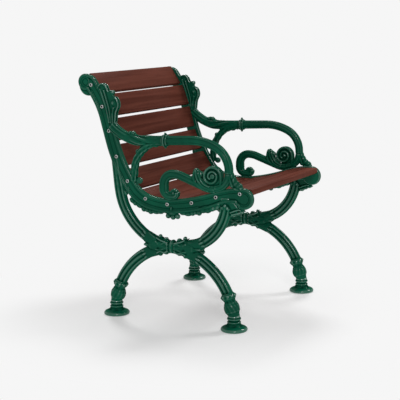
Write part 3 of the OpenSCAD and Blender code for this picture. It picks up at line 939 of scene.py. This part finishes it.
# Tint, roughness, and how much fine scratches add to it
METALS = {
    "zinc_plated_steel": ((0.42, 0.44, 0.43), 0.34, 0.18),
    # A dark finish for the screws' sockets: painted shadow
    "socket_shadow": ((0.05, 0.055, 0.05), 0.6, 0.1),
    "turned_brass": ((0.65, 0.46, 0.2), 0.3, 0.15),
}


@functools.cache
def metal_finish(name):
    tint, rough, scratch = METALS[name]
    f = Finish(name)
    where = f.place()
    fine = f.noise(where, 900.0, 2.0)
    spots = f.noise(where, 260.0, 3.0, 0.6)
    base = f.mix(spots.between(0.45, 0.8), colour(tint), colour(tint, 0.72))
    f.set(
        base_color=base,
        roughness=rough + scratch * fine,
        metallic=1.0 - 0.25 * spots.between(0.6, 0.85),
        normal=f.bump(fine, 0.15, 0.0002),
    )
    return f.material


def give(node, finish):
    """Gives a CAD node that stays its procedural finish."""
    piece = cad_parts[node]
    for slot in piece.material_slots:
        slot.material = finish
    if not piece.material_slots:
        piece.data.materials.append(finish)


# Slats
def build_slat(index, node):
    """Sawn slat with lightly rounded front edges and fully rounded back edges."""
    low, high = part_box(node)
    place, heading = slat_place(index, BOARD_T)
    length = (high[0] - low[0]) / MM - BOARD_END_ROOM
    bm = bmesh.new()
    bmesh.ops.create_cube(bm, size=1.0, matrix=Matrix.Diagonal((length, SLAT_W, BOARD_T, 1.0)))
    for face, radius, parts in ((1, FRONT_EDGE_R, 4), (-1, BACK_EDGE_R, 6)):
        long = [e for e in bm.edges if e.calc_length() > length / 2]
        edges = [e for e in long if all(v.co.z * face > 0 and abs(v.co.y) > SLAT_W / 2 - 1 for v in e.verts)]
        round_off(bm, edges, radius, parts)
    round_off(bm, [e for e in bm.edges if any(abs(f.normal.x) > 0.5 for f in e.link_faces)], BOARD_END_R, 2)
    turn = Matrix.Translation((0, place.x - ORIGIN_Y, place.y)) @ Matrix.Rotation(math.radians(heading), 4, "X")
    bmesh.ops.transform(bm, matrix=Matrix.Scale(MM, 4) @ turn, verts=bm.verts)
    piece = add_piece(bm, node + "_board", node, [wood_finish()])
    piece.data.set_sharp_from_angle(angle=math.radians(40))


def round_off(bm, edges, radius, parts):
    bmesh.ops.bevel(bm, geom=edges, affect="EDGES", offset=radius, segments=parts, profile=0.5, material=-1)


# Screws
def build_screws(bm):
    """Slat screws: plain shank, domed head with a rounded shoulder, and a deep socket with a face of its own, a dark
    finish that is painted shadow.
    """
    tip, seat, top = SCREW_SEAT - SCREW_LENGTH, SCREW_SEAT, SCREW_SEAT + HEAD_H
    profile = [
        (0, tip), (SHANK_R, tip), (SHANK_R, seat), (HEAD_R, seat), (HEAD_R, seat + 2.2), (6.3, seat + 3.0),
        (5.8, seat + 3.8), (5.0, seat + 4.3), (4.1, top), (SOCKET_R + 0.5, top), (SOCKET_R, top - 0.5),
        (SOCKET_R - 0.1, seat + 0.9), (0, seat + 0.7),
    ]
    for index in range(len(SLATS)):
        place = slat_place(index, SLAT_T)[0]
        turned(bm, place, profile, 30)
        # The socket's faces take the second finish, a dark painted shadow
        for face in bm.faces:
            spot = face.calc_center_median()
            if spot.z > seat and (spot.xy - place).length < SOCKET_R:
                face.material_index = 1


# Feet
def build_foot(side, y, name, node):
    """Turned foot: a pad with low leaves, a waist, and a neck of two rings under the leg."""
    profile = [
        (0, 0), (40.5, 0), (43, 1.2), (44, 3.8), (43.8, 6.6), (42.4, 9.4), (39.6, 11.6), (35.6, 13.4), (31, 15),
        (27, 17), (24, 19.6), (22.2, 22.4), (21.4, 25), (22.6, 26.6), (23, 28.6), (22, 30.4), (19.4, 31.6),
        (18.6, 33.4), (19.4, 35.2), (22, 36.8), (23.4, 39), (22.6, 41.4), (20.4, 43), (20, 49.5), (18, 50), (0, 50),
    ]
    neck, leaf_low, leaf_high = 17.0, 10, 24
    bm = bmesh.new()
    turned(bm, (0, 0), profile)
    bmesh.ops.recalc_face_normals(bm, faces=bm.faces)
    for v in bm.verts:
        r, h = v.co.xy.length, v.co.z
        if r > neck and leaf_low < h < leaf_high:
            share = (h - leaf_low) / (leaf_high - leaf_low)
            rise = 0.9 * math.cos(6 * math.atan2(v.co.y, v.co.x)) * math.sin(math.pi * share)
            v.co.xy *= (r + rise) / r
    mark_relief(bm, 3)
    bmesh.ops.scale(bm, vec=(MM, MM, MM), verts=bm.verts)
    half = bpy.context.scene.armchair_sizes.frame_spacing / 2
    bmesh.ops.translate(bm, vec=(side * half, y * MM, 0), verts=bm.verts)
    piece = add_piece(bm, name, node, [paint_finish()])
    rounding = piece.modifiers.new("Round", "SUBSURF")
    rounding.levels = rounding.render_levels = 1


# Sizes and looks that a user would change
def length_property(name, description, default, low, high):
    return bpy.props.FloatProperty(
        name=name, description=description, default=default, min=low, max=high, unit="LENGTH"
    )


def colour_property(name, description, default):
    return bpy.props.FloatVectorProperty(
        name=name, description=description, default=default, subtype="COLOR", size=3, min=0, max=1
    )


class ArmchairSizes(bpy.types.PropertyGroup):
    frame_spacing: length_property(
        "Frame spacing", "Distance between the middle planes of the two side frames", 0.55, 0.45, 0.8
    )
    bead_radius: length_property("Rolled edge", "Radius of the rolled edge round each rail", 0.0055, 0.004, 0.0065)
    ridge_radius: length_property(
        "Fine line", "Radius of the fine raised line inside the rolled edge", 0.0021, 0.001, 0.003
    )
    rail_voxel: length_property("Rail detail", "Grain at which a rail's shapes are fused", 0.00135, 0.001, 0.004)
    arm_voxel: length_property("Arm detail", "Grain at which an arm's shapes are fused", 0.0013, 0.001, 0.004)
    leg_voxel: length_property("Leg detail", "Grain at which the legs' shapes are fused", 0.0015825, 0.001, 0.004)


class ArmchairLooks(bpy.types.PropertyGroup):
    paint: colour_property("Paint", "Colour of the enamel on the castings", (0.0034, 0.102, 0.055))
    # The darker enamel colour is mixed in patches over the enamel, and a quarter of it is painted shade in the hollows
    paint_dark: colour_property("Paint in shade", "Colour of the enamel where it lies thick", (0.0024, 0.070, 0.038))
    # The crest colour is a painted highlight, mixed over the crests
    paint_crest_highlight: colour_property("Paint on crests", "Colour of the enamel where it stands proud", (0.010, 0.150, 0.092))
    wood: colour_property("Wood", "Main colour of the stained slats", (0.148, 0.045, 0.030))
    wood_dark: colour_property("Wood grain", "Colour of the darker bands of the grain", (0.094, 0.027, 0.018))
    backdrop: bpy.props.FloatProperty(
        name="Backdrop", description="Brightness of the floor and backdrop", default=0.921, min=0, max=1
    )


# One operator for each piece or group of like pieces
class ARMCHAIR_OT_rails(bpy.types.Operator):
    """Make both rails: web, rolled edge, scrolls, leaf on the back and drops under the seat"""

    bl_idname = "armchair.rails"
    bl_label = "Rails"

    def execute(self, context):
        make_casting("rail", build_rail, context.scene.armchair_sizes.rail_voxel / MM)
        return {"FINISHED"}


class ARMCHAIR_OT_arms(bpy.types.Operator):
    """Make both armrests: grooved bar, branch, volutes, scrollwork, collar and leaves"""

    bl_idname = "armchair.arms"
    bl_label = "Armrests"

    def execute(self, context):
        make_casting("arm", build_arm, context.scene.armchair_sizes.arm_voxel / MM)
        return {"FINISHED"}


class ARMCHAIR_OT_legs(bpy.types.Operator):
    """Make both pairs of legs: reeded limbs, leaf clasp and leaf bulbs"""

    bl_idname = "armchair.legs"
    bl_label = "Legs"

    def execute(self, context):
        make_casting("legs", build_legs, context.scene.armchair_sizes.leg_voxel / MM)
        return {"FINISHED"}


class ARMCHAIR_OT_feet(bpy.types.Operator):
    """Make the four turned feet"""

    bl_idname = "armchair.feet"
    bl_label = "Feet"

    def execute(self, context):
        for word, side in SIDES.items():
            for place, y in (("front", -FOOT_TOP.x), ("rear", FOOT_TOP.x)):
                node = "%s_%s_foot" % (word, place)
                build_foot(side, y - ORIGIN_Y, "%s_%s_turned_foot" % (word, place), node)
        return {"FINISHED"}


class ARMCHAIR_OT_slats(bpy.types.Operator):
    """Make the ten slats of stained wood"""

    bl_idname = "armchair.slats"
    bl_label = "Slats"

    def execute(self, context):
        for index, node in enumerate(SLATS):
            build_slat(index, node)
        return {"FINISHED"}


class ARMCHAIR_OT_fasteners(bpy.types.Operator):
    """Make the slat screws, and give the threaded sleeves their metal"""

    bl_idname = "armchair.fasteners"
    bl_label = "Screws and sleeves"

    def execute(self, context):
        bm = bmesh.new()
        build_screws(bm)
        bmesh.ops.recalc_face_normals(bm, faces=bm.faces)
        finishes = [metal_finish("zinc_plated_steel"), metal_finish("socket_shadow")]
        for word, side in SIDES.items():
            piece = stand_up(bm, side, word + "_screws", word + "_slat_screws", finishes)
            piece.data.set_sharp_from_angle(angle=math.radians(50))
            give(word + "_slat_sleeves", metal_finish("turned_brass"))
        bm.free()
        return {"FINISHED"}


class ARMCHAIR_OT_stage(bpy.types.Operator):
    """Set up the pale floor, the soft lamps and the camera"""

    bl_idname = "armchair.stage"
    bl_label = "Studio"

    def execute(self, context):
        make_floor(context.scene.armchair_looks.backdrop)
        make_light(context.scene.armchair_looks.backdrop)
        make_camera()
        return {"FINISHED"}


# Brightness of the floor's own colour, of the light from all sides, and of the glow that hides the floor's
# edge: from its share under the chair it grows to all of it between two distances in metres
FLOOR_ALBEDO = 0.93
AMBIENT = 0.34
FLOOR_GLOW = 0.35
FLOOR_FADE = (0.38, 0.9)
# Lamps that are far off: the way to each, how wide it looks, and how much light it gives on a face towards it
LAMPS = (
    ("key_rear", (0.60, 0.33, 0.73), 16.0, 1.3),
    ("key_front", (0.60, -0.30, 0.74), 16.0, 1.1),
    ("fill", (-0.75, -0.45, 0.48), 20.0, 0.75),
)
# The photograph's camera, found from points that are seen on both side frames: its place, its lens, and its
# azimuth, elevation and roll
CAMERA_PLACE = (-3166.25, -1692.98, 986.44)
CAMERA_LENS = 93.703
CAMERA_ANGLES = (-61.2333, 9.7707, -0.7608)


def make_floor(level):
    bm = bmesh.new()
    bmesh.ops.create_grid(bm, x_segments=8, y_segments=8, size=14.0)
    floor = new_object(bm, "studio_floor")
    f = Finish("pale_floor")
    f.tree.nodes.remove(f.shader)
    where = Value(f, f.node("ShaderNodeTexCoord").outputs["Object"])
    distance = Value(f, f.node("ShaderNodeVectorMath", {"operation": "LENGTH"}, {0: where}).outputs["Value"])
    matt = f.node("ShaderNodeBsdfDiffuse", {}, {"Color": grey(FLOOR_ALBEDO)})
    glow = f.node("ShaderNodeEmission", {}, {"Color": grey(level), "Strength": 1.0})
    share = FLOOR_GLOW + (1.0 - FLOOR_GLOW) * distance.between(*FLOOR_FADE)
    mixed = f.node("ShaderNodeMixShader", {}, {0: share, 1: matt.outputs[0], 2: glow.outputs[0]})
    f.tree.links.new(mixed.outputs[0], f.output.inputs[0])
    floor.data.materials.append(f.material)


def make_light(level):
    """Soft light from all sides, where the camera and the gloss see the pale backdrop, and the lamps."""
    scene = bpy.context.scene
    scene.world = bpy.data.worlds.new("studio")
    sky = Nodes(scene.world)
    sky.tree.nodes.clear()
    soft = sky.node("ShaderNodeBackground", {}, {0: grey(1.0), 1: AMBIENT})
    seen = sky.node("ShaderNodeBackground", {}, {0: grey(level), 1: 1.0})
    path = sky.node("ShaderNodeLightPath").outputs
    seen_by = path["Is Camera Ray"]
    for ray in ("Is Glossy Ray", "Is Transmission Ray"):
        seen_by = sky.node("ShaderNodeMath", {"operation": "MAXIMUM"}, {0: seen_by, 1: path[ray]}).outputs[0]
    mix = sky.node("ShaderNodeMixShader", {}, {0: seen_by, 1: soft.outputs[0], 2: seen.outputs[0]})
    sky.node("ShaderNodeOutputWorld", {}, {0: mix.outputs[0]})
    for name, way, width, power in LAMPS:
        data = bpy.data.lights.new(name, "SUN")
        data.angle = math.radians(width)
        data.energy = power
        lamp = bpy.data.objects.new(name, data)
        lamp.location = Vector(way).normalized() * 4
        lamp.rotation_euler = (-Vector(way)).to_track_quat("-Z", "Y").to_euler()
        scene.collection.objects.link(lamp)


def make_camera():
    azimuth, elevation, roll = (math.radians(a) for a in CAMERA_ANGLES)
    back = Vector(
        (math.sin(azimuth) * math.cos(elevation), -math.cos(azimuth) * math.cos(elevation), math.sin(elevation))
    )
    right = (-back).cross(Vector((0, 0, 1))).normalized()
    up = right.cross(-back)
    x_axis = right * math.cos(roll) + up * math.sin(roll)
    y_axis = -right * math.sin(roll) + up * math.cos(roll)
    data = bpy.data.cameras.new("camera")
    data.sensor_width = 36.0
    data.lens = CAMERA_LENS
    data.clip_end = 60.0
    camera = bpy.data.objects.new("camera", data)
    x, y, z = CAMERA_PLACE
    place = Vector((x, y - ORIGIN_Y, z)) * MM
    turn = Matrix((x_axis, y_axis, back)).transposed().to_4x4()
    camera.matrix_world = Matrix.Translation(place) @ turn
    bpy.context.scene.collection.objects.link(camera)
    bpy.context.scene.camera = camera
    bpy.context.scene.view_settings.view_transform = "Standard"


class ARMCHAIR_PT_parts(bpy.types.Panel):
    bl_idname = "ARMCHAIR_PT_parts"
    bl_label = "Armchair"
    bl_space_type = "VIEW_3D"
    bl_region_type = "UI"
    bl_category = "Armchair"

    def draw(self, context):
        column = self.layout.column()
        for kind in PIECES + (ARMCHAIR_OT_stage,):
            column.operator(kind.bl_idname)
        for group in (context.scene.armchair_sizes, context.scene.armchair_looks):
            for name in group.__annotations__:
                column.prop(group, name)


PIECES = (
    ARMCHAIR_OT_rails, ARMCHAIR_OT_arms, ARMCHAIR_OT_legs, ARMCHAIR_OT_feet, ARMCHAIR_OT_slats, ARMCHAIR_OT_fasteners,
)
CLASSES = (ArmchairSizes, ArmchairLooks) + PIECES + (ARMCHAIR_OT_stage, ARMCHAIR_PT_parts)


def register():
    for kind in CLASSES:
        bpy.utils.register_class(kind)
    bpy.types.Scene.armchair_sizes = bpy.props.PointerProperty(type=ArmchairSizes)
    bpy.types.Scene.armchair_looks = bpy.props.PointerProperty(type=ArmchairLooks)


def unregister():
    del bpy.types.Scene.armchair_looks
    del bpy.types.Scene.armchair_sizes
    for kind in reversed(CLASSES):
        bpy.utils.unregister_class(kind)


def main():
    register()
    bpy.ops.armchair.stage()
    bpy.ops.armchair.rails()
    bpy.ops.armchair.arms()
    bpy.ops.armchair.legs()
    bpy.ops.armchair.feet()
    bpy.ops.armchair.slats()
    bpy.ops.armchair.fasteners()


if __name__ == "__main__":
    main()
